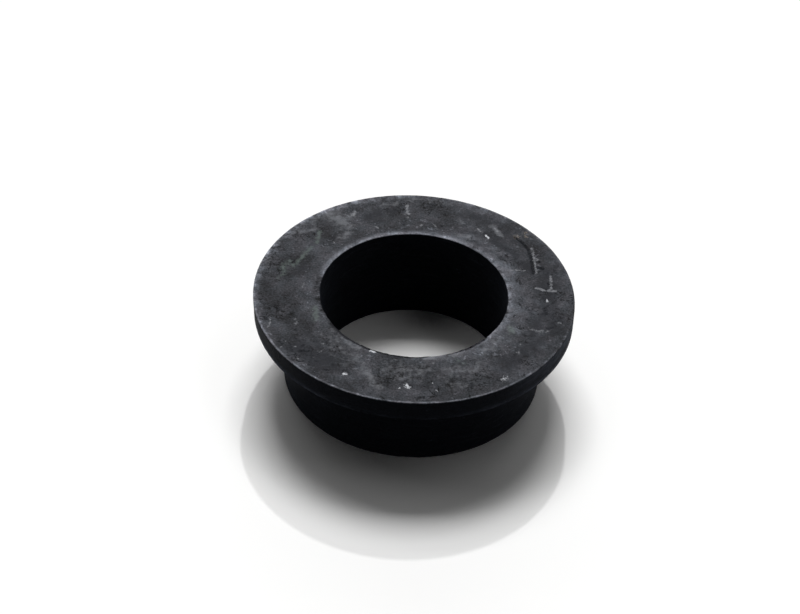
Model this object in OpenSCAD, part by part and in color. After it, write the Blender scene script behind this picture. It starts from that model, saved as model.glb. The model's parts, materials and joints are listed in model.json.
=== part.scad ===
// Flanged rubber bushing: a short sleeve with a through bore and a flat round flange at its upper end.
// It is moulded as one piece. It stands on the sleeve's lower end, with the bore's axis on Z.

/* [Bore] */
// Diameter of the through bore
bore_d = 11; // [2:0.1:40]
// Rounding of the bore's upper and lower mouth
bore_edge_r = 0.1; // [0.05:0.05:0.8]

/* [Sleeve] */
// Wall of the sleeve around the bore
sleeve_wall = 2.2; // [1.2:0.1:8]
// Length of the sleeve below the flange
sleeve_length = 4.7; // [1:0.1:40]
// Rounding of the sleeve's lower outer edge, which leads it into a panel's hole
sleeve_edge_r = 0.1; // [0.05:0.05:0.8]

/* [Flange] */
// Reach of the flange past the sleeve
flange_overhang = 1.8; // [0.8:0.1:12]
// Thickness of the flange
flange_t = 1.3; // [0.6:0.1:6]
// Rounding of the flange's upper and lower rim
flange_edge_r = 0.1; // [0.05:0.05:0.5]
// Fillet in the root between the sleeve and the flange's underside
root_r = 0.3; // [0.05:0.05:0.8]

/* [Hidden] */
bore_r = bore_d / 2;
sleeve_r = bore_r + sleeve_wall;
flange_r = sleeve_r + flange_overhang;
height = sleeve_length + flange_t;
$fn = 120;

// What an arc of radius r leaves over of a square corner that lies at the origin
module corner_sliver(r) {
    difference() {
        square(r);
        translate([r, r]) circle(r);
    }
}

// Half section beside the axis, with the radius along X and the height along Y
module section() {
    difference() {
        union() {
            translate([bore_r, 0]) square([sleeve_wall, height]);
            translate([bore_r, sleeve_length]) square([sleeve_wall + flange_overhang, flange_t]);
            translate([sleeve_r, sleeve_length]) rotate(-90) corner_sliver(root_r);
        }
        translate([bore_r, 0]) corner_sliver(bore_edge_r);
        translate([bore_r, height]) rotate(-90) corner_sliver(bore_edge_r);
        translate([sleeve_r, 0]) rotate(90) corner_sliver(sleeve_edge_r);
        translate([flange_r, sleeve_length]) rotate(90) corner_sliver(flange_edge_r);
        translate([flange_r, height]) rotate(180) corner_sliver(flange_edge_r);
    }
}

// The whole moulding, turned about the bore's axis
module bushing() {
    color("#2e3035") rotate_extrude() section();
}

bushing();
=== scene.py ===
"""A flanged rubber bushing: one worn black moulding on a pale floor in soft studio light.

Lengths are metres unless a name says otherwise. The bore's axis is Z and the sleeve stands on the floor.
"""

import json
import logging
import math
from dataclasses import dataclass, field
from enum import Enum
from typing import Any, Callable

import bpy
import numpy as np
from mathutils import Matrix, Vector


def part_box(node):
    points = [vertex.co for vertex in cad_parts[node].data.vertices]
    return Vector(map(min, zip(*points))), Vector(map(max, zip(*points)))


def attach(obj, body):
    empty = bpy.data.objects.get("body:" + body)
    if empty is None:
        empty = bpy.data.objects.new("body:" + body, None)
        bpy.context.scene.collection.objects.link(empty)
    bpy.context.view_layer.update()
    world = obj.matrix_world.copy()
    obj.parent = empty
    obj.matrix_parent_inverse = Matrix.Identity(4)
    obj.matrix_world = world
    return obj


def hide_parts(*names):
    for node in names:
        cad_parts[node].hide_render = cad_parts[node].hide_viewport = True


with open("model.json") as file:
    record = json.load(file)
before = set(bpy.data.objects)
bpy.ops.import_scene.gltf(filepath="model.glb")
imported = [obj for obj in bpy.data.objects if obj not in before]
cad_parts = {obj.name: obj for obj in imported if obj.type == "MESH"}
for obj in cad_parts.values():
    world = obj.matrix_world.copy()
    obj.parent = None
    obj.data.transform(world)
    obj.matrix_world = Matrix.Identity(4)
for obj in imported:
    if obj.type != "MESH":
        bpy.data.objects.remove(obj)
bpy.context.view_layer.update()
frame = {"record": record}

LOG = logging.getLogger("bushing")
MM = 0.001
IMAGE_WIDTH_PX = 800

Colour = tuple[float, float, float]
Triple = tuple[float, float, float]
Polar = tuple[float, float]
Settings = dict[str, Any] | None
Inputs = dict[int | str, Any] | None
Socket = bpy.types.NodeSocket


class Value:
    """A socket that carries one number, with Python's arithmetic on it."""

    def __init__(self, graph: "Graph", socket: Socket) -> None:
        """Wraps an output in the graph that gives one number."""
        self.graph = graph
        self.socket = socket

    def _maths(self, operation: str, first: "Value | float", second: "Value | float" = 0.0) -> "Value":
        """Adds one Math node, whose second operand may be idle, and gives its result."""
        return self.graph.value("ShaderNodeMath", {"operation": operation}, {0: first, 1: second})

    def __add__(self, other: "Value | float") -> "Value":
        """Gives the sum."""
        return self._maths("ADD", self, other)

    def __radd__(self, other: float) -> "Value":
        """Gives the sum with a number on the left."""
        return self._maths("ADD", other, self)

    def __sub__(self, other: "Value | float") -> "Value":
        """Gives the difference."""
        return self._maths("SUBTRACT", self, other)

    def __rsub__(self, other: float) -> "Value":
        """Gives the difference from a number on the left."""
        return self._maths("SUBTRACT", other, self)

    def __mul__(self, other: "Value | float") -> "Value":
        """Gives the product."""
        return self._maths("MULTIPLY", self, other)

    def __rmul__(self, other: float) -> "Value":
        """Gives the product with a number on the left."""
        return self._maths("MULTIPLY", other, self)

    def __truediv__(self, other: "Value | float") -> "Value":
        """Gives the quotient."""
        return self._maths("DIVIDE", self, other)

    def __rtruediv__(self, other: float) -> "Value":
        """Gives the quotient of a number on the left."""
        return self._maths("DIVIDE", other, self)

    def __pow__(self, other: float) -> "Value":
        """Gives the power."""
        return self._maths("POWER", self, other)

    def __abs__(self) -> "Value":
        """Gives the size without its sign."""
        return self._maths("ABSOLUTE", self)

    def at_least(self, other: "Value | float") -> "Value":
        """Gives the greater of the two."""
        return self._maths("MAXIMUM", self, other)

    def step(self, low: float, high: float) -> "Value":
        """Rises smoothly from 0 to 1.

        Args:
            low: The number at which the rise starts.
            high: The number at which it ends. Below low, the rise becomes a fall.

        Returns:
            A number from 0 to 1.
        """
        limits = {"From Min": low, "From Max": high}
        if high < low:
            limits = {"From Min": high, "From Max": low, "To Min": 1.0, "To Max": 0.0}
        settings = {"interpolation_type": "SMOOTHSTEP"}
        return self.graph.value("ShaderNodeMapRange", settings, {"Value": self, **limits})


@dataclass(frozen=True)
class Pattern:
    """A soft noise.

    Attributes:
        size_mm: The breadth of a typical patch.
        detail: How many finer layers it has.
        roughness: How strong the finer layers are.
        distortion: How far the patches are pulled about.
        flatness: How many times broader than high the patches are.
    """

    size_mm: float
    detail: float = 3.0
    roughness: float = 0.55
    distortion: float = 0.0
    flatness: float = 1.0

    MIDDLE = 0.5


class Graph:
    """The node tree of one material or of the world."""

    MIX_SHARE = 0
    MIX_FIRST = 6
    MIX_SECOND = 7
    MIX_RESULT = 2

    def __init__(self, tree: bpy.types.NodeTree) -> None:
        """Empties a node tree, ready to be built."""
        self.tree = tree
        tree.nodes.clear()

    def node(self, kind: str, settings: Settings = None, inputs: Inputs = None) -> bpy.types.Node:
        """Adds a node of any kind.

        Args:
            kind: The node's type.
            settings: The node's own properties, which are set first.
            inputs: A number, colour, vector, socket or Value for each input, by its name or place.

        Returns:
            The new node.
        """
        node = self.tree.nodes.new(kind)
        for name, setting in (settings or {}).items():
            setattr(node, name, setting)
        for key, given in (inputs or {}).items():
            source = given.socket if isinstance(given, Value) else given
            if isinstance(source, Socket):
                self.tree.links.new(source, node.inputs[key])
            else:
                node.inputs[key].default_value = source
        return node

    def value(self, kind: str, settings: Settings, inputs: Inputs, output: int | str = 0) -> Value:
        """Adds a node of any kind and takes a number from the output with the given name or place."""
        return Value(self, self.node(kind, settings, inputs).outputs[output])

    def vector(self, operation: str, *operands: Any, scale: Value | float = 1.0) -> Socket:
        """Adds a Vector Math node that gives a vector.

        Args:
            operation: The node's operation.
            operands: Its vectors, as tuples or sockets.
            scale: The factor of the SCALE operation.

        Returns:
            The vector.
        """
        inputs = dict(enumerate(operands))
        if operation == "SCALE":
            inputs["Scale"] = scale
        return self.node("ShaderNodeVectorMath", {"operation": operation}, inputs).outputs["Vector"]

    def measure(self, operation: str, *operands: Any) -> Value:
        """Adds a Vector Math node that gives a number, such as DOT_PRODUCT or LENGTH."""
        inputs = dict(enumerate(operands))
        return self.value("ShaderNodeVectorMath", {"operation": operation}, inputs, "Value")

    def noise(self, place: Socket, pattern: Pattern) -> Value:
        """Adds a soft noise about zero.

        Args:
            place: The point to read it at, in millimetres.
            pattern: What the noise is like.

        Returns:
            A number from about -0.5 to 0.5.
        """
        inputs = {
            "Vector": self.vector("MULTIPLY", place, (1.0, 1.0, pattern.flatness)),
            "Scale": 1.0 / pattern.size_mm,
            "Detail": pattern.detail,
            "Roughness": pattern.roughness,
            "Distortion": pattern.distortion,
        }
        return self.value("ShaderNodeTexNoise", None, inputs, "Fac") - pattern.MIDDLE

    def blend(self, share: Value, first: Any, second: Any) -> Socket:
        """Mixes two colours by the share of the second that shows."""
        inputs = {self.MIX_SHARE: share, self.MIX_FIRST: first, self.MIX_SECOND: second}
        return self.node("ShaderNodeMix", {"data_type": "RGBA"}, inputs).outputs[self.MIX_RESULT]

    def end(self, kind: str, share: Value, first: Socket, second: Socket) -> None:
        """Mixes two shaders by the share of the second and ends in an output node of the given kind."""
        shader = self.node("ShaderNodeMixShader", None, {0: share, 1: first, 2: second})
        self.node(kind, None, {"Surface": shader.outputs[0]})


@dataclass(frozen=True)
class Stroke:
    """How one kind of trace shows.

    Attributes:
        colour: The colour that it leaves.
        opacity: How much of what lies below it hides.
        feather: The share of its breadth over which it fades out.
        ragged: How far its border wanders, as a share of its breadth.
        grain_mm: The size of the bays in its border.
        relief_mm: How far it stands out of its dish, or below zero how deep it goes.
    """

    colour: Colour
    opacity: float
    feather: float
    ragged: float
    grain_mm: float
    relief_mm: float = 0.0


class Trace(Enum):
    """What has left marks on the flange's top face, and how it shows, from the lowest layer up."""

    SHADE = Stroke((0.016, 0.017, 0.021), 0.8, 1.2, 2.6, 0.6)  # a broad, bare patch without bloom
    POWDER = Stroke((0.195, 0.202, 0.22), 0.55, 1.4, 3.2, 0.36)  # a soft pale rub
    STREAK = Stroke((0.13, 0.16, 0.15), 0.5, 1.2, 3.2, 0.24)  # a pale, slightly green rub
    SCRATCH = Stroke((0.225, 0.232, 0.25), 0.7, 0.8, 3.6, 0.18, -0.015)  # a thin pale score
    FLECK = Stroke((0.01, 0.011, 0.014), 0.65, 0.9, 4.0, 0.16, -0.03)  # a small dark spot
    GROOVE = Stroke((0.005, 0.006, 0.008), 0.9, 0.8, 3.0, 0.2, -0.06)  # a dark cut
    EDGE = Stroke((0.004, 0.004, 0.006), 0.95, 0.5, 1.2, 0.3)  # painted shade along the bore's front mouth
    FLAKE = Stroke((0.25, 0.257, 0.275), 0.8, 1.0, 2.8, 0.18, 0.03)  # a pale, ragged flake
    GRIT = Stroke((0.2, 0.17, 0.14), 0.6, 0.9, 4.0, 0.14, 0.02)  # a tan grain
    CRUMB = Stroke((0.55, 0.565, 0.6), 1.0, 0.7, 2.8, 0.14, 0.04)  # a white crumb pressed into the face


@dataclass(frozen=True)
class Mark:
    """One mark on the flange's top face, a spot or a stroke along a path.

    Attributes:
        half_mm: Half its breadth.
        strength: How strongly it shows, from 0 to about 1.
        path: Its points, each as a radius in millimetres and an angle in degrees from +X.
    """

    half_mm: float
    strength: float
    path: tuple[Polar, ...]

    def depth(self, plan: np.ndarray) -> np.ndarray:
        """Tells how far inside the mark points lie.

        Args:
            plan: The points seen from above, in millimetres.

        Returns:
            Its strength at the middle of the mark, 0 at its border and less outside.
        """
        points = [
            radius * np.array((math.cos(math.radians(turn)), math.sin(math.radians(turn))))
            for radius, turn in self.path
        ]
        distance = np.linalg.norm(plan - points[0], axis=1)
        for start, end in zip(points, points[1:]):
            run = end - start
            along = np.clip((plan - start) @ run / (run @ run), 0.0, 1.0)
            distance = np.minimum(distance, np.linalg.norm(plan - start - along[:, None] * run, axis=1))
        return self.strength * (1.0 - distance / self.half_mm)


def mark(half_mm: float, strength: float, *path: Polar) -> Mark:
    """Makes a mark with its points listed one after another."""
    return Mark(half_mm, strength, path)


MARKS: dict[Trace, tuple[Mark, ...]] = {}
MARKS[Trace.SHADE] = (
    mark(1.5, 1.2, (8.4, -144), (7.9, -130)),
    mark(0.8, 1.0, (7.5, 18), (7.2, 34), (7.3, 50)),
    mark(0.7, 0.9, (8.1, 40), (8.4, 56), (8.4, 66)),
    mark(0.7, 1.1, (8.0, 98), (7.6, 110)),
    mark(0.6, 0.8, (6.3, 34), (6.25, 54)),
    mark(0.5, 0.6, (6.1, -57), (6.15, -33)),
    mark(0.45, 0.6, (7.1, -14), (7.1, -3)),
    mark(0.5, 0.6, (6.95, 56), (6.7, 65)),
    mark(0.45, 0.7, (7.5, 140), (7.4, 147)),
    mark(0.4, 0.6, (7.0, 112), (7.1, 103)),
    mark(0.4, 0.6, (9.4, 12), (9.4, 44)),
    mark(0.9, 1.0, (7.7, -30), (7.8, -8)),
    mark(1.1, 1.0, (8.5, -20), (8.3, 15)),
    mark(1.0, 0.9, (8.0, -52), (8.2, -30)),
    mark(0.5, 0.7, (7.1, 158), (7.1, 166)),
    mark(0.3, 0.5, (8.7, 81), (8.4, 83)),
    mark(0.3, 0.6, (8.7, 67), (7.4, 64)),
    mark(0.5, 0.6, (8.6, -89), (8.0, -86)),
)
MARKS[Trace.POWDER] = (
    mark(0.5, 0.5, (9.1, 124), (9.1, 142)),
    mark(0.8, 1.2, (8.9, 124), (8.3, 121.5), (7.7, 122)),
    mark(0.4, 0.4, (9.1, 160), (9.15, 170)),
    mark(0.35, 0.9, (5.85, -86), (5.85, -66)),
    mark(0.4, 0.5, (9.1, 74), (9.1, 90)),
    mark(0.5, 0.5, (8.2, -76), (8.25, -71)),
    mark(0.8, 0.6, (6.9, -104), (6.8, -86)),
    mark(0.6, 0.6, (6.0, -138), (5.95, -124)),
    mark(0.4, 0.9, (7.3, 121), (6.9, 124), (6.6, 129)),
    mark(0.25, 0.9, (8.3, 134), (8.5, 137), (8.9, 140)),
    mark(0.4, 0.9, (8.6, -105), (8.1, -108), (7.7, -111), (7.3, -115)),
    mark(0.8, 0.5, (7.0, -119), (6.6, -132), (6.3, -142)),
    mark(0.7, 0.5, (6.4, -52), (6.4, -42)),
    mark(0.4, 0.7, (6.4, 57), (6.1, 63)),
    mark(0.25, 0.8, (8.6, 95), (8.6, 102)),
    mark(0.2, 0.7, (7.7, 67), (7.5, 65)),
    mark(0.5, 0.5, (7.4, -99), (7.3, -93)),
    mark(0.9, 0.5, (7.2, -76), (7.4, -62)),
    mark(0.3, 1.2, (7.85, 46.5), (8.05, 49.5), (8.2, 53)),
)
MARKS[Trace.STREAK] = (
    mark(0.22, 1.0, (8.0, 134), (7.7, 137), (7.4, 141)),
    mark(0.22, 1.0, (7.4, 145), (7.4, 151), (7.4, 156), (7.6, 161)),
    mark(0.3, 0.9, (7.9, 159), (8.1, 163), (7.9, 166)),
    mark(0.14, 0.6, (7.8, 166), (8.1, 171)),
    mark(0.3, 1.0, (6.0, -166), (6.1, -161), (6.3, -157)),
    mark(0.3, 1.0, (6.5, -31), (6.3, -28)),
    mark(0.25, 0.4, (6.6, -67), (6.2, -69)),
)
MARKS[Trace.SCRATCH] = (
    mark(0.08, 0.7, (8.7, -165), (8.9, -162), (9.1, -159.5)),
    mark(0.1, 0.5, (7.3, -162), (7.45, -158)),
    mark(0.12, 0.45, (8.2, -23), (7.9, -24), (7.3, -24.5)),
    mark(0.1, 0.4, (9.0, -17), (8.7, -16.5)),
    mark(0.13, 1.0, (8.4, 2.8), (8.05, 3.3), (7.75, 3.6), (7.3, 5.5)),
    mark(0.12, 0.9, (8.16, 4), (8.24, 7.5), (8.38, 12)),
    mark(0.1, 0.4, (7.1, 19), (6.3, 21.5)),
    mark(0.13, 0.9, (8.5, 91.3), (7.7, 91.3)),
    mark(0.07, 0.8, (6.8, 110), (6.4, 108)),
    mark(0.06, 0.6, (6.3, 75), (6.7, 78)),
    mark(0.06, 0.6, (6.6, 176), (6.5, 172)),
)
MARKS[Trace.FLECK] = (
    mark(0.12, 0.9, (8.5, -142), (8.1, -140)),
    mark(0.14, 0.7, (8.9, -141)),
    mark(0.12, 0.6, (8.1, -150), (8.05, -147)),
    mark(0.14, 0.8, (7.7, -154)),
    mark(0.15, 0.7, (7.3, -143)),
    mark(0.25, 0.5, (8.1, -169)),
    mark(0.15, 0.7, (9.0, -164), (9.1, -167)),
    mark(0.08, 0.7, (8.9, -134), (8.5, -136)),
    mark(0.14, 0.7, (8.0, -127)),
    mark(0.1, 0.9, (9.1, -151), (9.0, -149)),
    mark(0.09, 0.9, (8.6, -148), (8.7, -146.5)),
    mark(0.1, 0.9, (8.8, -144.5)),
    mark(0.12, 0.9, (8.2, -143.5), (8.0, -144)),
    mark(0.09, 0.9, (9.1, -138), (8.9, -137)),
    mark(0.1, 0.8, (8.4, -133.5)),
    mark(0.09, 0.8, (7.8, -147)),
    mark(0.1, 0.8, (9.1, -130)),
    mark(0.08, 0.8, (8.6, -128), (8.5, -126.5)),
    mark(0.09, 0.8, (7.5, -131)),
    mark(0.1, 0.6, (9.0, -92), (9.05, -88)),
    mark(0.12, 0.7, (8.8, -70), (8.4, -69)),
    mark(0.18, 0.6, (8.8, -111)),
    mark(0.1, 0.9, (8.2, -21.5), (8.5, -20)),
    mark(0.12, 0.7, (8.72, 15.2), (8.8, 13.2)),
    # Painted shade: dark rings around the larger crumbs, where they shade the face
    mark(0.3, 0.8, (8.2, -120.2)),
    mark(0.2, 0.7, (8.1, -92.8)),
    mark(0.2, 0.6, (8.75, -58.5)),
    mark(0.15, 0.6, (8.7, -39)),
    mark(0.15, 0.7, (7.9, -13), (7.7, -9)),
    mark(0.13, 0.7, (6.9, -19)),
    mark(0.1, 0.8, (6.65, 30), (6.75, 33)),
    mark(0.15, 0.7, (6.6, 73.5)),
    mark(0.1, 0.7, (7.1, 93), (6.4, 94)),
    mark(0.12, 0.7, (8.4, 146)),
    mark(0.12, 0.9, (6.5, 136.5)),
    mark(0.1, 0.7, (7.1, 132), (6.8, 134)),
    mark(0.15, 0.7, (6.3, 109)),
)
MARKS[Trace.GROOVE] = (
    mark(0.11, 0.9, (8.32, 41), (8.3, 36), (8.2, 31.5), (7.95, 26), (7.7, 21), (7.45, 15.5)),
    mark(0.13, 1.1, (8.24, 22.2)),
    mark(0.17, 1.1, (7.99, 19), (8.15, 17.6)),
    mark(0.1, 0.7, (8.1, 8), (8.15, 6)),
    mark(0.12, 0.8, (5.6, -56)),
    mark(0.12, 0.8, (5.65, -46)),
)
# Painted shade: a thin dark line along the front of the bore's upper mouth
MARKS[Trace.EDGE] = (
    mark(0.26, 1.0, (5.5, -149), (5.58, -142), (5.6, -135), (5.6, -128), (5.6, -121), (5.6, -114)),
    mark(0.26, 1.0, (5.6, -114), (5.6, -107), (5.6, -100), (5.58, -93), (5.5, -85)),
    mark(0.22, 1.0, (5.5, -71), (5.57, -64), (5.59, -57), (5.57, -51), (5.5, -44)),
)
MARKS[Trace.FLAKE] = (
    mark(0.12, 0.7, (8.5, 31.5), (8.18, 26.5), (7.97, 23), (7.65, 15.6)),
    mark(0.14, 0.9, (8.26, 24)),
    mark(0.1, 0.8, (8.07, 20.6)),
    mark(0.1, 0.7, (7.67, 15.6), (7.7, 17)),
    mark(0.13, 0.9, (7.76, 3.8)),
    mark(0.15, 0.6, (8.56, 41)),
    mark(0.07, 0.6, (5.66, 31)),
    mark(0.07, 0.6, (5.66, 20)),
    mark(0.07, 0.6, (5.66, 11)),
    mark(0.1, 0.6, (8.0, 48.5), (8.12, 51)),
    mark(0.1, 0.8, (7.25, 53.5), (7.45, 57)),
    mark(0.13, 0.9, (7.6, 91)),
    mark(0.1, 0.8, (7.55, 93)),
    mark(0.12, 0.9, (7.25, 91.5)),
    mark(0.2, 1.0, (8.4, 114), (8.2, 115.5)),
    mark(0.16, 0.8, (7.75, -41)),
    mark(0.1, 0.9, (7.45, -36)),
    mark(0.1, 0.9, (8.3, -22.5)),
    mark(0.14, 0.6, (7.05, -139.5)),
    mark(0.12, 0.5, (7.6, -137)),
    mark(0.1, 0.9, (9.15, -148)),
    mark(0.08, 0.7, (8.7, -150)),
    mark(0.08, 0.7, (8.45, -145.5)),
    mark(0.08, 0.7, (8.95, -139.5)),
    mark(0.07, 0.7, (8.2, -136)),
    mark(0.12, 0.6, (6.3, 28.5)),
    mark(0.14, 0.6, (6.5, 84.5)),
    mark(0.1, 0.6, (6.3, -107)),
    mark(0.1, 0.6, (6.05, -103)),
    mark(0.1, 0.6, (6.2, -81.5)),
)
MARKS[Trace.GRIT] = (
    mark(0.22, 0.9, (8.5, 41)),
    mark(0.18, 0.7, (8.9, 38.5)),
    mark(0.18, 0.7, (9.15, 40.5)),
)
MARKS[Trace.CRUMB] = (
    mark(0.18, 1.0, (8.2, -120.5)),
    mark(0.18, 0.8, (8.03, -94.8), (8.15, -93.8)),
    mark(0.08, 0.9, (8.3, -97.5)),
    mark(0.08, 0.8, (7.8, -84)),
    mark(0.09, 0.6, (8.45, -83)),
    mark(0.16, 0.45, (8.85, -57), (8.8, -55.5)),
    mark(0.1, 1.0, (7.1, 49), (7.2, 51)),
    mark(0.09, 0.9, (6.65, 135)),
    mark(0.1, 0.6, (7.9, -4), (7.85, -2.5)),
    mark(0.13, 1.0, (5.77, -117), (5.75, -115)),
)


@dataclass(frozen=True)
class Sector:
    """A side of the moulding, seen from its axis.

    Attributes:
        towards: Its direction.
        starts: The cosine of the angle at which it starts.
        full: The cosine of the angle within which it is full.
    """

    towards: Triple
    starts: float
    full: float


class Side(Enum):
    """The sides of the moulding on which its wear and its painted highlights and sheen differ."""

    RIGHT = Sector((1.0, 0.0, 0.0), 0.1, 0.8)
    BACK = Sector((0.0, 1.0, 0.0), -0.1, 0.7)
    FRONT_LEFT = Sector((-0.35, -0.94, 0.0), 0.2, 0.7)
    BACK_LEFT = Sector((-0.35, 0.94, 0.0), 0.45, 0.75)
    LEFT = Sector((-0.87, 0.5, 0.0), 0.3, 0.85)
    FAR_LEFT = Sector((-0.98, -0.2, 0.0), 0.8, 0.95)
    RIGHT_FLANK = Sector((0.88, -0.47, 0.0), 0.84, 0.97)


class Site:
    """A point of the clean moulding as the finish reads it, in millimetres."""

    UP = (0.0, 0.0, 1.0)
    LEVEL = (1.0, 1.0, 0.0)
    GRAIN = Pattern(0.12, 2.0, 0.7)
    WAVER = Pattern(0.5, 4.0, 0.7)
    DRIFT = Pattern(1.5)

    def __init__(self, graph: Graph, part: "Bushing") -> None:
        """Measures where the point lies.

        Args:
            graph: The material's graph.
            part: The moulding, for its sizes.
        """
        moulded = graph.node("ShaderNodeAttribute", {"attribute_name": part.MOULDED}).outputs["Vector"]
        self.graph = graph
        self.point = graph.vector("SCALE", moulded, scale=1.0 / MM)
        self.plan = graph.vector("MULTIPLY", self.point, self.LEVEL)
        self.outward = graph.vector("NORMALIZE", self.plan)
        radius = graph.measure("LENGTH", self.plan)
        height = graph.measure("DOT_PRODUCT", self.point, self.UP)
        self.past_bore = radius - part.bore_r / MM
        self.past_rim = radius - part.flange_r / MM
        self.above_seat = height - part.seat_z / MM
        self.above_top = height - part.height / MM
        self.grain = graph.noise(self.point, self.GRAIN)
        self.waver = graph.noise(self.plan, self.WAVER)
        self.drift = graph.noise(self.plan, self.DRIFT)
        self.shares = {side: self.along(side).step(side.value.starts, side.value.full) for side in Side}

    def along(self, side: Side) -> Value:
        """Gives the cosine of the angle between the point's own side and another."""
        return self.graph.measure("DOT_PRODUCT", self.outward, side.value.towards)

    def depth(self, trace: Trace) -> Value:
        """Gives how deep the point lies inside the marks of one kind."""
        return self.graph.value("ShaderNodeAttribute", {"attribute_name": trace.name}, None, "Fac")


@dataclass(frozen=True)
class Band:
    """A band along an edge of the top face that changes its lightness.

    Attributes:
        starts_mm: How far past the edge it starts, below zero inside it.
        full_mm: How far past the edge it is full.
        waver_mm: How far its border wavers.
        glow: What it adds to the lightness all round.
        patchy: How strongly that varies in small patches.
        drifting: How strongly that varies in large patches.
        sides: What it adds on single sides.
        within: The side that it keeps to, if any.
    """

    starts_mm: float
    full_mm: float
    waver_mm: float
    glow: float = 0.0
    patchy: float = 0.0
    drifting: float = 0.0
    sides: tuple[tuple[Side, float], ...] = ()
    within: Side | None = None

    def light(self, site: Site, past_edge: Value) -> Value:
        """Gives what the band adds to the lightness.

        Args:
            site: The point.
            past_edge: How far it lies past the edge.

        Returns:
            The added lightness.
        """
        share = (past_edge + site.waver * self.waver_mm).step(self.starts_mm, self.full_mm)
        if self.within:
            share = share * site.shares[self.within]
        glow = self.glow + site.waver * self.patchy + site.drift * self.drifting
        for side, gain in self.sides:
            glow = glow + site.shares[side] * gain
        return share * glow


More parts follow.
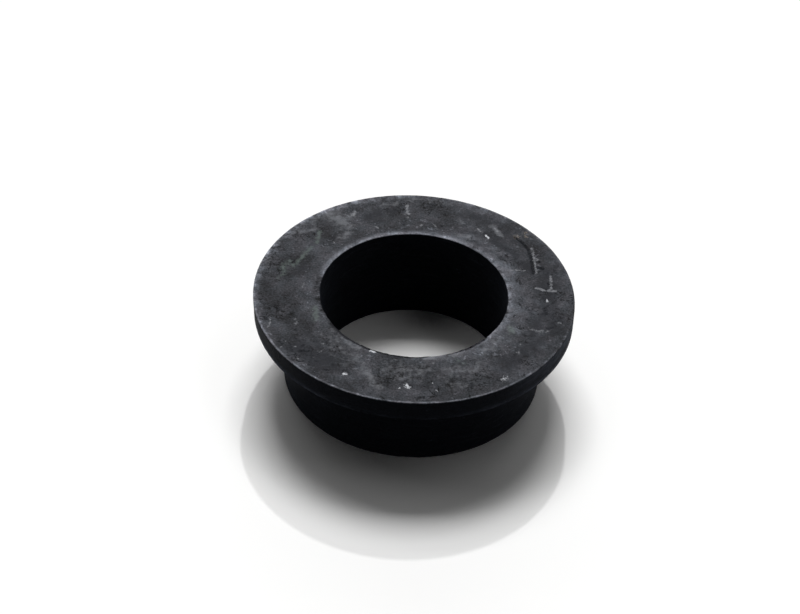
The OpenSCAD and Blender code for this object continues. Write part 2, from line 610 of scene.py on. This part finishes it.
@dataclass(frozen=True)
class RubberFinish:
    """Black rubber with a grey bloom on the flange's top face, with some highlights, sheen and shade
    painted in.

    Lightness is the share of white that the eye sees, from 0 to 1. A rise is the pair of numbers between
    which something sets in, in millimetres where it is about a place.

    Attributes:
        body: The lightness of the bare rubber on the sides and in the bore.
        stain: How strongly the stains on it show.
        drag: How strongly the level drag lines on it show.
        dust: How strongly the dust on it shows.
        flank_sheen: How strongly the painted sheen on the flange's right-front side shows.
        bloom: The lightness of the bloomed top face.
        mottle: How strongly the bloom varies.
        grit: How strongly the finest grain shows in it.
        nub_highlight: What the painted highlight on its raised nubs adds.
        pit_shade: What the painted shade in its pits and creases takes away.
        body_tint: The colour cast of the bare rubber.
        cool_tint: The colour cast of the bloom where it is coolest.
        warm_tint: The colour cast of the bloom where it is warmest.
        side_sheen: The strength of the gloss on the bare rubber.
        sheen: The strength of the gloss on the top face.
        roughness: How matt the rubber is.
    """

    body: float = 0.13
    stain: float = 0.1
    drag: float = 0.08
    dust: float = 0.08
    flank_sheen: float = 0.15
    bloom: float = 0.214
    mottle: float = 0.5
    grit: float = 0.36
    nub_highlight: float = 0.14
    pit_shade: float = 0.15
    body_tint: Colour = (0.85, 0.97, 1.26)
    cool_tint: Colour = (0.93, 1.0, 1.16)
    warm_tint: Colour = (0.97, 0.985, 1.13)
    side_sheen: float = 0.02
    sheen: float = 0.04
    roughness: float = 0.62

    # How lightness becomes colour, and how the grain, the specks and the marks stand out
    EYE_GAMMA = 2.2
    DARKEST = 0.02
    BUMP = 0.8
    GRAIN_MM = 0.03
    SPECK_MM = 0.02
    GRAIN_ROUGHNESS = 0.3
    RELIEF_SHARE = 0.6
    BORDER_ROUGHNESS = 0.65

    # Where the bloom sets in below the top face, which is lower at the bare mouth of the bore
    BLOOM_RISE = (-0.09, -0.04)
    BARE_MOUTH = (0.3, 0.1)
    BARE_MOUTH_MM = 0.045

    # The bands along the rim and around the bore: wear, and a painted highlight on the rim's front and
    # left
    RIM = Band(-0.19, -0.08, 0.12, 0.04, 0.6, sides=((Side.FRONT_LEFT, 0.11),))
    BACK_HEM = Band(-0.7, -0.1, 0.8, 0.05, 0.4, within=Side.BACK)
    LEFT_HEM = Band(-0.55, -0.15, 0.5, 0.09, 0.4, within=Side.LEFT)
    MOUTH_SIDES = ((Side.RIGHT, 0.05), (Side.BACK_LEFT, 0.19), (Side.FAR_LEFT, -0.1))
    MOUTH = Band(0.52, 0.12, 0.5, patchy=0.9, drifting=0.4, sides=MOUTH_SIDES)
    # A lighter ring around the bore, broadest to the right
    COLLAR_SIDES = ((Side.RIGHT, 0.12), (Side.BACK, 0.03), (Side.FRONT_LEFT, 0.03))
    COLLAR = Band(1.5, 0.1, 0.0, 0.025, sides=COLLAR_SIDES)
    COLLAR_REACH = 0.6
    COLLAR_REACH_RIGHT = 0.55
    COLLAR_DRIFT = 1.6

    # The bloom's clouds and colour casts, and its pits, creases and nubs, which lie in clusters
    CLOUDS = Pattern(2.6, 5.0, 0.74, 0.3)
    CASTS = Pattern(0.8, 2.0)
    CAST_RISE = (-0.12, 0.12)
    SPOTS = Pattern(0.26, 2.0, 0.6, 0.4)
    PIT_RISE = (0.1, 0.16)
    NUB_RISE = (-0.1, -0.16)
    FOLDS = Pattern(0.6, 2.0, 0.6, 0.6)
    CREASE_RISE = (0.03, 0.01)
    CREASE = 0.8
    CLUSTERS = Pattern(1.7, 2.0)
    PIT_CLUSTER = (0.02, 0.14)
    NUB_CLUSTER = (0.0, -0.12)
    CREASE_CLUSTER = (0.05, 0.12)
    SHADED = (0.0, 0.6)
    SHADED_MORE = 0.05
    NEAR_BORE = (2.0, 0.6)
    NEAR_BORE_LESS = 0.07

    # The bare rubber's stains, drag lines and dust, the painted lower-edge highlight and the painted
    # right-side sheen
    STAINS = Pattern(1.2, 4.0, 0.65, flatness=2.5)
    DRAGS = Pattern(1.6, 4.0, 0.7, flatness=7.0)
    DRAG_RISE = (0.02, 0.3)
    DUST = Pattern(0.35, 2.0)
    DUST_RISE = (0.16, 0.24)
    DUST_STAIN = (-0.02, 0.12)
    BARE_GRIT = 0.1
    LIP_FOOT = (0.0, 0.1)
    LIP_HEAD = (0.5, 0.1)
    LIP_WAVER = 0.7
    LIP_REACH = (-1.0, -0.2)
    LIP_ASIDE = (0.1, 0.7)
    LIP_ASIDE_SHARE = 0.75
    LIP_GLOW = 0.1
    LIP_STAIN = 0.1
    FLANK_REACH = (-0.3, -0.05)
    FLANK_RISE = (0.2, 0.8)
    FLANK_DRAG = 0.3

    def material(self, part: "Bushing") -> bpy.types.Material:
        """Builds the finish for one moulding.

        Args:
            part: The moulding, for its sizes.

        Returns:
            The material.
        """
        material = bpy.data.materials.new("worn_black_rubber")
        material.use_nodes = True
        graph = Graph(material.node_tree)
        site = Site(graph, part)
        bare_mouth = site.past_bore.step(*self.BARE_MOUTH) * self.BARE_MOUTH_MM
        bloomed = (site.above_top - bare_mouth).step(*self.BLOOM_RISE)
        upper, relief = self._face(site)
        lower = self._bare(site)
        rough = self.roughness + site.grain * self.GRAIN_ROUGHNESS
        bumps = {"Strength": self.BUMP, "Distance": MM, "Height": site.grain * self.GRAIN_MM + relief}
        bump = graph.node("ShaderNodeBump", None, bumps)
        coats = []
        for colour, sheen in ((lower, self.side_sheen), (upper, self.sheen)):
            inputs = {
                "Base Color": colour,
                "Roughness": rough,
                "Specular IOR Level": sheen,
                "Normal": bump.outputs[0],
            }
            coats.append(graph.node("ShaderNodeBsdfPrincipled", None, inputs).outputs[0])
        graph.end("ShaderNodeOutputMaterial", bloomed, *coats)
        return material

    def _tinted(self, graph: Graph, lightness: Value, tint: Any) -> Socket:
        """Turns a lightness into a colour with the given cast."""
        return graph.vector("SCALE", tint, scale=lightness.at_least(self.DARKEST) ** self.EYE_GAMMA)

    def _bare(self, site: Site) -> Socket:
        """Gives the nearly black sides, bore and underside, with painted light on the flange's lower
        edge and right side.

        Args:
            site: The point.

        Returns:
            The colour.
        """
        stains, drags, dust = (
            site.graph.noise(site.point, pattern) for pattern in (self.STAINS, self.DRAGS, self.DUST)
        )
        dusty = dust.step(*self.DUST_RISE) * stains.step(*self.DUST_STAIN)
        # Painted highlight: a lighter line along the flange's lower edge, strongest to the left and
        # right
        lip_highlight = (site.above_seat + stains * self.LIP_WAVER).step(*self.LIP_HEAD)
        lip_highlight = lip_highlight * site.above_seat.step(*self.LIP_FOOT) * site.past_rim.step(*self.LIP_REACH)
        aside = abs(site.along(Side.RIGHT)).step(*self.LIP_ASIDE)
        lip_highlight = lip_highlight * (self.LIP_ASIDE_SHARE * aside + (1.0 - self.LIP_ASIDE_SHARE))
        lip_highlight = lip_highlight * (self.LIP_GLOW + (stains + self.LIP_STAIN).at_least(0.0))
        # Painted sheen: the flange's right-front side is lightened, in place of a grazing reflection
        flank_sheen = site.shares[Side.RIGHT_FLANK] * site.past_rim.step(*self.FLANK_REACH)
        flank_sheen = flank_sheen * (site.above_seat + stains).step(*self.FLANK_RISE)
        added_lightness = lip_highlight + flank_sheen * (self.flank_sheen + drags * self.FLANK_DRAG) + dusty * self.dust
        dragged = drags.step(*self.DRAG_RISE)
        lightness = self.body + stains * self.stain + dragged * self.drag + site.grain * self.BARE_GRIT
        return self._tinted(site.graph, lightness + added_lightness, self.body_tint)

    def _face(self, site: Site) -> tuple[Socket, Value]:
        """Gives the bloomed and marked top face.

        Args:
            site: The point.

        Returns:
            The colour and the relief of the marks.
        """
        graph = site.graph
        clouds = graph.noise(site.plan, self.CLOUDS)
        pits, nubs = self._specks(site)
        lightness = self.bloom + clouds * self.mottle + site.grain * self.grit
        # The nubs add a painted highlight, and the pits and creases take away painted shade
        lightness = lightness + nubs * self.nub_highlight - pits * self.pit_shade + self._bands(site)
        casts = graph.noise(site.plan, self.CASTS).step(*self.CAST_RISE)
        tint = graph.blend(casts, (*self.cool_tint, 1.0), (*self.warm_tint, 1.0))
        colour = self._tinted(graph, lightness, tint)
        relief = (nubs - pits) * self.SPECK_MM
        for trace in Trace:
            stroke = trace.value
            border = Pattern(stroke.grain_mm, roughness=self.BORDER_ROUGHNESS)
            ragged = graph.noise(site.plan, border) * stroke.ragged
            cover = (site.depth(trace) + ragged).step(0.0, stroke.feather)
            colour = graph.blend(cover * stroke.opacity, colour, (*stroke.colour, 1.0))
            if stroke.relief_mm:
                relief = relief + cover * (stroke.relief_mm * self.RELIEF_SHARE)
        return colour, relief

    def _specks(self, site: Site) -> tuple[Value, Value]:
        """Gives the clustered small pits and creases, with painted shade, and raised nubs, with a
        painted highlight.

        Args:
            site: The point.

        Returns:
            How strongly the pits and creases, and the nubs, show.
        """
        spots, folds, clusters = (
            site.graph.noise(site.point, pattern) for pattern in (self.SPOTS, self.FOLDS, self.CLUSTERS)
        )
        clusters = clusters + site.depth(Trace.SHADE).step(*self.SHADED) * self.SHADED_MORE
        clusters = clusters - site.past_bore.step(*self.NEAR_BORE) * self.NEAR_BORE_LESS
        pits = spots.step(*self.PIT_RISE) * clusters.step(*self.PIT_CLUSTER)
        creases = abs(folds).step(*self.CREASE_RISE) * clusters.step(*self.CREASE_CLUSTER) * self.CREASE
        nubs = spots.step(*self.NUB_RISE) * clusters.step(*self.NUB_CLUSTER)
        return pits.at_least(creases), nubs

    def _bands(self, site: Site) -> Value:
        """Gives the bands along the rim and around the bore, with the painted highlight on the rim.

        Args:
            site: The point.

        Returns:
            What the bands add to the lightness.
        """
        reach = self.COLLAR_REACH + site.shares[Side.RIGHT] * self.COLLAR_REACH_RIGHT
        added_lightness = self.COLLAR.light(site, site.past_bore / reach + site.drift * self.COLLAR_DRIFT)
        added_lightness = added_lightness + self.MOUTH.light(site, site.past_bore)
        for band in (self.RIM, self.BACK_HEM, self.LEFT_HEM):
            added_lightness = added_lightness + band.light(site, site.past_rim)
        return added_lightness


@dataclass
class Bushing:
    """The moulding: a sleeve, a flange at its upper end and a straight bore through both.

    Attributes:
        bore_r: Radius of the bore.
        sleeve_r: Radius of the sleeve.
        flange_r: Radius of the flange.
        seat_z: Height of the flange's underside.
        height: Height of the flange's top face.
        mouth_round: Rounding of the bore's two mouths.
        foot_round: Rounding of the sleeve's lower outer edge.
        rim_round: Rounding of the flange's rim.
        root_fillet: Fillet between the sleeve and the flange's underside.
        lean: How far the soft sleeve has shifted aside under the flange.
        mouth_shift: How far the bore's mouth lies behind the flange's centre.
        tuck: How far the flange's lower rim is drawn in at the left.
        waves: Depth of the surface's unevenness.
        rim_wear: Depth of the rim's unevenness.
        mouth_wear: Depth of the unevenness of the bore's upper mouth.
        front_wear: How deep the front of that mouth is worn down.
        turns: Faces around the axis.
        piece: The object, once it is drawn.
    """

    bore_r: float
    sleeve_r: float
    flange_r: float
    seat_z: float
    height: float
    mouth_round: float = 0.1 * MM
    foot_round: float = 0.1 * MM
    rim_round: float = 0.05 * MM
    root_fillet: float = 0.3 * MM
    lean: float = 0.065 * MM
    mouth_shift: float = 0.09 * MM
    tuck: float = 0.07 * MM
    waves: float = 0.02 * MM
    rim_wear: float = 0.012 * MM
    mouth_wear: float = 0.08 * MM
    front_wear: float = 0.05 * MM
    turns: int = 720
    piece: bpy.types.Object = field(init=False)

    NODE = "bushing"
    SLOT = "black_rubber"
    MOULDED = "moulded"
    SAME_PLACE = 0.001 * MM
    STRAIGHT_DEG = 1.0
    ROUND_CUTS = 5

    # How far the marks, the worn edges and the shifts reach, and how they fade
    FACE_DEPTH = 0.3 * MM
    OUTSIDE = -2.0
    UPPER_FADE = 0.5 * MM
    UPPER_START = 1.2
    EDGE_BREADTH = 0.35 * MM
    ROOT_REACH = 0.5 * MM
    LEAN_TOP = 0.2 * MM
    LEAN_FADE = 0.6 * MM
    SHIFT_REACH = 2.0 * MM
    TUCK_GAIN = 1.5
    TUCK_START = 0.5
    WAVE_MM = 1.5
    CHIP_MM = 0.4
    CLOUD_LAYERS = 2
    DISH_REACH = 0.8
    RELIEF_GAIN = 1.5

    @classmethod
    def from_frame(cls) -> "Bushing":
        """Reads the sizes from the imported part.

        Returns:
            The moulding at the part's own sizes.
        """
        mounts = {mount["name"]: mount for mount in frame["record"]["mounts"]}
        _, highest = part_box(cls.NODE)
        return cls(
            bore_r=mounts["bore"]["dims"]["r_mm"] * MM,
            sleeve_r=mounts["sleeve"]["dims"]["r_mm"] * MM,
            flange_r=highest[0],
            seat_z=mounts["flange_seat"]["pos_m"][2],
            height=highest[2],
        )

    def build(self) -> bpy.types.Object:
        """Models the moulding, dresses it and hands it to the frame.

        Returns:
            The finished piece.
        """
        self._section()
        self._round_corners()
        self._divide()
        self._turn()
        self._age(self._chart())
        piece = self.piece
        piece.data.materials.append(RubberFinish().material(self))
        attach(piece, "root")
        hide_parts(self.NODE)
        return piece

    def _section(self) -> None:
        """Draws the half section as one face and stays in edit mode."""
        bpy.ops.object.select_all(action="DESELECT")
        wall = self.sleeve_r - self.bore_r
        bpy.ops.mesh.primitive_plane_add(
            size=1.0,
            location=(self.bore_r + wall / 2, 0.0, self.seat_z / 2),
            rotation=(math.pi / 2, 0.0, 0.0),
        )
        self.piece = bpy.context.active_object
        self.piece.name = "bushing_moulding"
        self.piece.scale = (wall, self.seat_z, 1.0)
        bpy.ops.object.transform_apply(location=True, rotation=True, scale=True)
        bpy.ops.object.mode_set(mode="EDIT")
        bpy.ops.mesh.select_mode(type="VERT")
        self._select(lambda at: self._near(at.z, self.seat_z))
        up = (0.0, 0.0, self.height - self.seat_z)
        bpy.ops.mesh.extrude_region_move(TRANSFORM_OT_translate={"value": up})
        lowest = self.seat_z - self.SAME_PLACE
        self._select(lambda at: self._near(at.x, self.sleeve_r) and at.z > lowest)
        out = (self.flange_r - self.sleeve_r, 0.0, 0.0)
        bpy.ops.mesh.extrude_region_move(TRANSFORM_OT_translate={"value": out})
        bpy.ops.mesh.select_all(action="SELECT")
        bpy.ops.mesh.dissolve_limited(angle_limit=math.radians(self.STRAIGHT_DEG))

    def _near(self, one: float, other: float) -> bool:
        """Tells whether two lengths are the same."""
        return abs(one - other) < self.SAME_PLACE

    def _select(self, wanted: Callable[[Vector], bool]) -> None:
        """Selects vertices by their place, in edit mode.

        Args:
            wanted: Tells from a vertex's place whether it is selected.
        """
        bpy.ops.mesh.select_all(action="DESELECT")
        bpy.ops.object.mode_set(mode="OBJECT")
        for vertex in self.piece.data.vertices:
            vertex.select = wanted(vertex.co)
        bpy.ops.object.mode_set(mode="EDIT")

    def _round_corners(self) -> None:
        """Rounds each corner of the section by its own radius."""
        corners = (
            (self.bore_r, 0.0, self.mouth_round),
            (self.bore_r, self.height, self.mouth_round),
            (self.sleeve_r, 0.0, self.foot_round),
            (self.sleeve_r, self.seat_z, self.root_fillet),
            (self.flange_r, self.seat_z, self.rim_round),
            (self.flange_r, self.height, self.rim_round),
        )
        for corner_r, corner_z, rounding in corners:
            self._select(lambda at: self._near(at.x, corner_r) and self._near(at.z, corner_z))
            bpy.ops.mesh.bevel(
                offset=rounding, segments=self.ROUND_CUTS, affect="VERTICES", clamp_overlap=False
            )

    def _divide(self) -> None:
        """Divides the section's straight runs, the top face most finely."""
        runs = (
            (lambda at: self._near(at.z, self.height), 56),
            (lambda at: self._near(at.z, self.seat_z) and at.x > self.sleeve_r, 6),
            (lambda at: self._near(at.z, 0.0), 5),
            (lambda at: self._near(at.x, self.flange_r), 7),
            (lambda at: self._near(at.x, self.sleeve_r), 12),
            (lambda at: self._near(at.x, self.bore_r), 8),
        )
        for wanted, cuts in runs:
            self._select(wanted)
            bpy.ops.mesh.select_mode(type="EDGE")
            bpy.ops.mesh.subdivide(number_cuts=cuts)
            bpy.ops.mesh.select_mode(type="VERT")

    def _turn(self) -> None:
        """Turns the section's outline about the bore's axis and closes the mesh."""
        bpy.ops.mesh.select_all(action="SELECT")
        bpy.ops.mesh.delete(type="ONLY_FACE")
        bpy.ops.object.mode_set(mode="OBJECT")
        screw = self.piece.modifiers.new("turn", "SCREW")
        screw.axis = "Z"
        screw.angle = math.tau
        screw.steps = self.turns
        screw.render_steps = self.turns
        screw.use_merge_vertices = True
        screw.merge_threshold = self.SAME_PLACE
        bpy.ops.object.modifier_apply(modifier=screw.name)
        bpy.ops.object.mode_set(mode="EDIT")
        bpy.ops.mesh.select_all(action="SELECT")
        bpy.ops.mesh.remove_doubles(threshold=self.SAME_PLACE)
        bpy.ops.mesh.normals_make_consistent(inside=False)
        bpy.ops.object.mode_set(mode="OBJECT")
        bpy.ops.object.shade_smooth()

    def _places(self) -> np.ndarray:
        """Reads where the vertices are.

        Returns:
            One row of three lengths for each vertex.
        """
        vertices = self.piece.data.vertices
        flat = np.empty(len(vertices) * 3)
        vertices.foreach_get("co", flat)
        return flat.reshape(-1, 3)

    def _chart(self) -> dict[Trace, np.ndarray]:
        """Keeps the clean shape's coordinates and the marks on it, which the finish is laid out by.

        Returns:
            How deep each vertex lies inside the marks of each kind.
        """
        places = self._places()
        attributes = self.piece.data.attributes
        kept = attributes.new(self.MOULDED, "FLOAT_VECTOR", "POINT")
        kept.data.foreach_set("vector", places.ravel())
        plan = places[:, :2] / MM
        on_face = places[:, 2] > self.height - self.FACE_DEPTH
        depths = {}
        for trace in Trace:
            depth = np.max([one.depth(plan) for one in MARKS[trace]], axis=0)
            depths[trace] = np.where(on_face, depth, self.OUTSIDE).clip(self.OUTSIDE, 1.0)
            chart = attributes.new(trace.name, "FLOAT", "POINT")
            chart.data.foreach_set("value", depths[trace])
        return depths

    def _age(self, depths: dict[Trace, np.ndarray]) -> None:
        """Gives the surface its unevenness, its worn edges and the relief of its marks.

        Args:
            depths: How deep each vertex lies inside the marks of each kind.
        """
        x, y, z = self._places().T
        radius = np.hypot(x, y)
        root_r = self.sleeve_r + self.ROOT_REACH
        low = (self.seat_z + self.LEAN_TOP - z) / self.LEAN_FADE * (radius < root_r)
        inner = np.clip(1.0 - (radius - self.bore_r) / self.SHIFT_REACH, 0.0, 1.0) * z / self.height
        under = (self.height - z) / (self.height - self.seat_z) * (radius > root_r)
        left = np.clip(-self.TUCK_GAIN * x / radius - self.TUCK_START, 0.0, 1.0)
        self._displace("lean", self.lean, low, direction="X")
        self._displace("mouth_shift", self.mouth_shift, inner, direction="Y")
        self._displace("tuck", self.tuck, under * left, direction="X")
        upper = np.clip((z - self.height) / self.UPPER_FADE + self.UPPER_START, 0.0, 1.0)
        rim = (1.0 - np.abs(radius - self.flange_r) / self.EDGE_BREADTH) * upper
        mouth = (1.0 - np.abs(radius - self.bore_r) / self.EDGE_BREADTH) * upper
        self._displace("waves", -self.waves, None, self.WAVE_MM)
        self._displace("rim", -self.rim_wear, rim, self.CHIP_MM)
        self._displace("mouth", -self.mouth_wear, mouth, self.CHIP_MM)
        self._displace("front_wear", -self.front_wear, np.minimum(mouth, -y / radius))
        for trace in Trace:
            relief = trace.value.relief_mm * MM
            if relief > 0.0:
                self._displace(trace.name + "_dish", -relief, depths[trace] + self.DISH_REACH)
            if relief:
                self._displace(trace.name, relief, depths[trace] * self.RELIEF_GAIN)

    def _displace(
        self,
        name: str,
        strength: float,
        weights: np.ndarray | None,
        cloud_mm: float | None = None,
        direction: str = "NORMAL",
    ) -> None:
        """Moves the surface along its normals or along an axis.

        Args:
            name: The modifier's name.
            strength: How far the surface moves at most.
            weights: What share of the move each vertex makes, if not the whole.
            cloud_mm: The breadth of the soft clouds that vary the move, if any.
            direction: NORMAL or an axis.
        """
        modifier = self.piece.modifiers.new(name, "DISPLACE")
        modifier.direction = direction
        modifier.strength = strength
        modifier.mid_level = 0.0
        modifier.texture_coords = "LOCAL"
        if cloud_mm is not None:
            modifier.texture = bpy.data.textures.new(name, "CLOUDS")
            modifier.texture.noise_scale = cloud_mm * MM
            modifier.texture.noise_depth = self.CLOUD_LAYERS
        if weights is not None:
            group = self.piece.vertex_groups.new(name=name + "_weights")
            for index in np.flatnonzero(weights > 0.0).tolist():
                group.add([index], min(1.0, float(weights[index])), "REPLACE")
            modifier.vertex_group = group.name
        bpy.ops.object.modifier_apply(modifier=modifier.name)
        self.piece.vertex_groups.clear()


@dataclass(frozen=True)
class Lamp:
    """A soft box that looks at the part.

    Attributes:
        name: What it is called.
        azimuth_deg: The side that it stands on, from straight behind towards the right.
        elevation_deg: Its height above the floor, as an angle.
        width_deg: Its breadth, as an angle.
        height_deg: Its height, as an angle.
        share: What it adds to the brightness of a white floor.
    """

    name: str
    azimuth_deg: float
    elevation_deg: float
    width_deg: float
    height_deg: float
    share: float

    DISTANCE = 8.0

    def place(self) -> None:
        """Sets the lamp up."""
        azimuth = math.radians(self.azimuth_deg)
        elevation = math.radians(self.elevation_deg)
        flat = math.cos(elevation)
        towards = Vector((math.sin(azimuth) * flat, math.cos(azimuth) * flat, math.sin(elevation)))
        light = bpy.data.lights.new(self.name, "AREA")
        light.shape = "RECTANGLE"
        light.size = 2.0 * self.DISTANCE * math.tan(math.radians(self.width_deg / 2)) * flat
        light.size_y = 2.0 * self.DISTANCE * math.tan(math.radians(self.height_deg / 2))
        light.energy = math.pi**2 * self.DISTANCE**2 * self.share / math.sin(elevation)
        lamp = bpy.data.objects.new(self.name, light)
        lamp.location = towards * self.DISTANCE
        lamp.rotation_euler = towards.to_track_quat("Z", "Y").to_euler()
        bpy.context.scene.collection.objects.link(lamp)


@dataclass
class Studio:
    """The pale floor, the lamps and the dim room around them.

    Attributes:
        floor_size: The floor's length and breadth.
        floor_white: The floor's colour as it is seen.
        floor_bounce: The floor's colour as it lights the part.
        room: The brightness of the room's own light.
        backdrop: The brightness of the room as it is seen.
        lamps: The lamps.
    """

    floor_size: float = 40.0
    floor_white: Colour = (0.98, 0.98, 0.975)
    floor_bounce: Colour = (0.03, 0.03, 0.03)
    room: float = 0.006
    backdrop: float = 1.0
    lamps: tuple[Lamp, ...] = (
        Lamp("key", 0.0, 57.2, 50.0, 16.6, 0.62),
        Lamp("low_strip", -6.0, 46.0, 28.0, 2.5, 0.065),
        Lamp("spot", 5.5, 43.2, 1.5, 1.2, 0.185),
        Lamp("horizon", 0.0, 25.0, 60.0, 12.0, 0.09),
        Lamp("right_box", 75.0, 60.0, 80.0, 14.0, 0.075),
        Lamp("left_box", -55.0, 57.0, 60.0, 14.0, 0.06),
        Lamp("right_glow", 105.0, 10.0, 40.0, 12.0, 0.012),
        Lamp("left_glow", -105.0, 10.0, 40.0, 12.0, 0.009),
    )

    def build(self) -> None:
        """Sets up the floor, the lamps and the room."""
        self._floor()
        self._room()
        for lamp in self.lamps:
            lamp.place()
            LOG.info("lamp %s", lamp.name)

    @staticmethod
    def _seen(graph: Graph) -> Value:
        """Gives 1 where a ray is seen straight, in a gloss or through glass, and else 0.

        Args:
            graph: The graph of the floor or the room.

        Returns:
            The number.
        """
        path = graph.node("ShaderNodeLightPath").outputs
        seen = Value(graph, path["Is Camera Ray"])
        for other in ("Is Glossy Ray", "Is Transmission Ray"):
            seen = seen.at_least(Value(graph, path[other]))
        return seen

    def _floor(self) -> None:
        """Lays the floor."""
        bpy.ops.object.select_all(action="DESELECT")
        bpy.ops.mesh.primitive_plane_add(size=self.floor_size)
        floor = bpy.context.active_object
        floor.name = "floor"
        material = bpy.data.materials.new("pale_floor")
        material.use_nodes = True
        graph = Graph(material.node_tree)
        coats = [
            graph.node("ShaderNodeBsdfDiffuse", None, {"Color": (*colour, 1.0)}).outputs[0]
            for colour in (self.floor_bounce, self.floor_white)
        ]
        graph.end("ShaderNodeOutputMaterial", self._seen(graph), *coats)
        floor.data.materials.append(material)

    def _room(self) -> None:
        """Lights the room dimly, with a white that only shows as background."""
        world = bpy.data.worlds.new("room")
        world.use_nodes = True
        bpy.context.scene.world = world
        graph = Graph(world.node_tree)
        glows = [
            graph.node("ShaderNodeBackground", None, {"Strength": strength}).outputs[0]
            for strength in (self.room, self.backdrop)
        ]
        graph.end("ShaderNodeOutputWorld", self._seen(graph), *glows)


@dataclass(frozen=True)
class ViewCamera:
    """The camera at the photograph's viewing angle.

    Attributes:
        aim_mm: The point that it looks at.
        distance_mm: How far it is from that point.
        azimuth_deg: The direction that it looks in, from +Y towards +X.
        elevation_deg: How far it looks down.
        roll_deg: How far it is turned about its own axis.
        focal_px: Its focal length, in the photograph's pixels.
    """

    aim_mm: Triple = (-0.665, 2.29, 3.0)
    distance_mm: float = 144.77
    azimuth_deg: float = 3.275
    elevation_deg: float = 40.467
    roll_deg: float = 2.878
    focal_px: float = 2394.8

    def place(self) -> None:
        """Sets the camera up and makes it the scene's own."""
        azimuth = math.radians(self.azimuth_deg)
        elevation = math.radians(self.elevation_deg)
        flat = math.cos(elevation)
        ahead = Vector((math.sin(azimuth) * flat, math.cos(azimuth) * flat, -math.sin(elevation)))
        data = bpy.data.cameras.new("camera")
        data.sensor_fit = "HORIZONTAL"
        data.lens = self.focal_px * data.sensor_width / IMAGE_WIDTH_PX
        data.clip_start = 1.0 * MM
        camera = bpy.data.objects.new("camera", data)
        roll = Matrix.Rotation(math.radians(self.roll_deg), 3, "Z")
        turn = ahead.to_track_quat("-Z", "Y").to_matrix() @ roll
        camera.location = (Vector(self.aim_mm) - ahead * self.distance_mm) * MM
        camera.rotation_euler = turn.to_euler()
        bpy.context.scene.collection.objects.link(camera)
        bpy.context.scene.camera = camera


def main() -> None:
    """Builds the camera, the studio and the moulding in order."""
    logging.basicConfig(level=logging.INFO, format="%(name)s: %(message)s")
    bpy.context.scene.view_settings.view_transform = "Standard"
    ViewCamera().place()
    LOG.info("camera placed")
    Studio().build()
    moulding = Bushing.from_frame().build()
    LOG.info("%s: %d faces", moulding.name, len(moulding.data.polygons))


if __name__ == "__main__":
    main()
